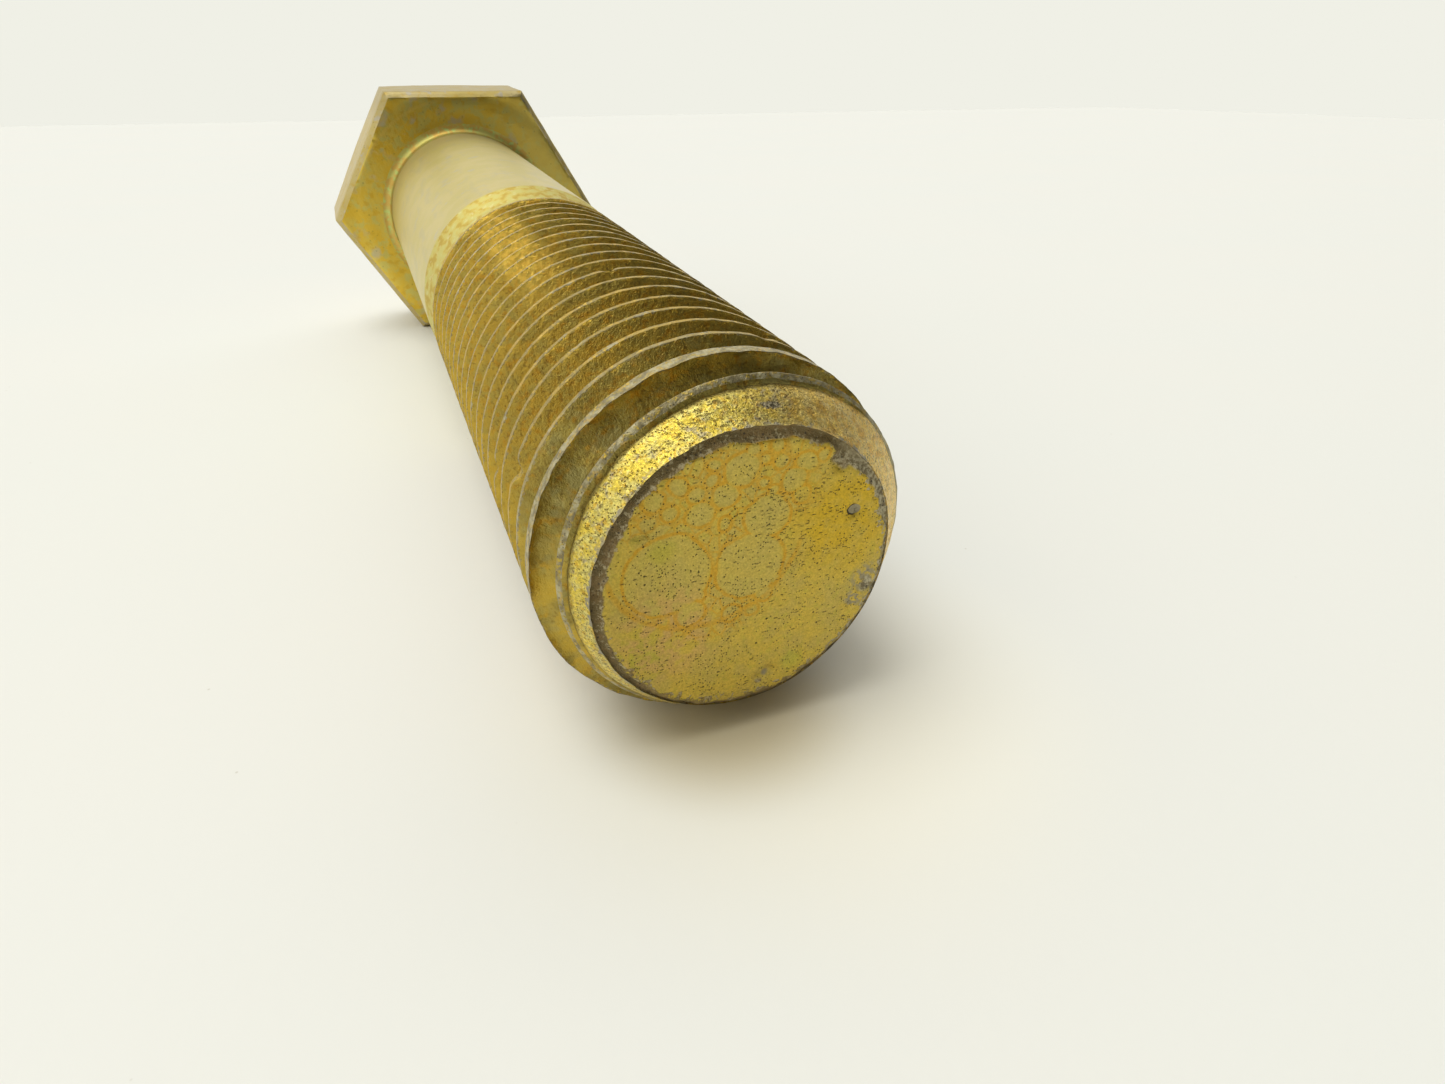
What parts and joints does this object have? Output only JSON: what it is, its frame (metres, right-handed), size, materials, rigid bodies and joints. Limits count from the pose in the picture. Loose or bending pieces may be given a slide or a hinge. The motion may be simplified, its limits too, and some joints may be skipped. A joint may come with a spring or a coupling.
{
  "type": "hex bolt",
  "caption": "Heavy partly threaded hex cap screw with a chamfered point, a smooth shank and a plain hex head, plated in yellow zinc.",
  "frame": {"origin": "centre of the flat end face at the bolt's point", "axes": "+Y along the bolt from the point to the head; +Z is the outward normal of one of the six wrenching flats, and the opposite flat, the one the head can rest on, faces -Z; +X runs through two opposite corners of the hexagon"},
  "size_m": [0.0646, 0.2016, 0.0558],
  "materials": {
    "yellow_zinc": "yellow chromate over zinc plating, satin on the shank and flats, worn to grey steel on the crests and the end's rim"
  },
  "bodies": {
    "root": {"hex_bolt": "yellow_zinc"}
  },
  "joints": []
}
